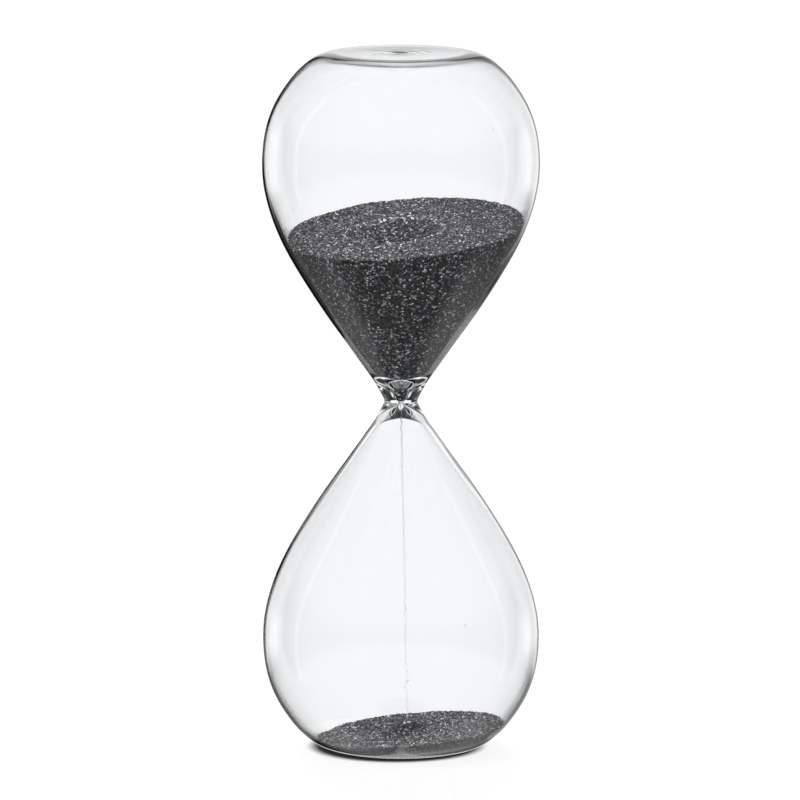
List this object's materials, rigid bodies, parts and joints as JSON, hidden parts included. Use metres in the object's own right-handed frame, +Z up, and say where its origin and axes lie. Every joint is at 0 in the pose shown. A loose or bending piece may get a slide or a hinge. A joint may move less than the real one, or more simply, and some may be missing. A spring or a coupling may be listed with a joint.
{
  "type": "hourglass",
  "caption": "Free-standing sand timer: one blown glass body with two teardrop bulbs, a thick waist with a metering hole, flattened ends and dark sand.",
  "frame": {"origin": "centre of the flat bottom face, on the surface it stands on", "axes": "+Z up along the axis of both bulbs, +X to the right as seen from the front, +Y towards the back"},
  "size_m": [0.0948, 0.0948, 0.24],
  "materials": {
    "glass": "clear blown glass, fire polished",
    "waist_glass": "thick clear glass, fused and fire polished",
    "seal_glass": "clear glass with ripples where it was fused shut",
    "sand": "dry dark grey sand, fine grains with bright specks",
    "falling_sand": "falling thread of dark grey sand"
  },
  "bodies": {
    "glass": {"upper_bulb": "glass", "lower_bulb": "glass", "waist": "waist_glass", "fill_seal": "seal_glass", "sand_stream": "falling_sand"},
    "sand_above": {"upper_sand": "sand"},
    "sand_below": {"lower_sand": "sand"}
  },
  "joints": [
    {"name": "upper_level", "type": "slide", "parent": "glass", "child": "sand_above", "axis": [0, 0, -1], "range_m": [0, 0.048], "deforming": ["upper_sand", "sand_stream"]},
    {"name": "lower_level", "type": "slide", "parent": "glass", "child": "sand_below", "axis": [0, 0, 1], "range_m": [0, 0.0225], "deforming": ["lower_sand"]}
  ],
  "couplings": [
    {"joint": "lower_level", "follows": "upper_level", "ratio": 0.4667}
  ]
}
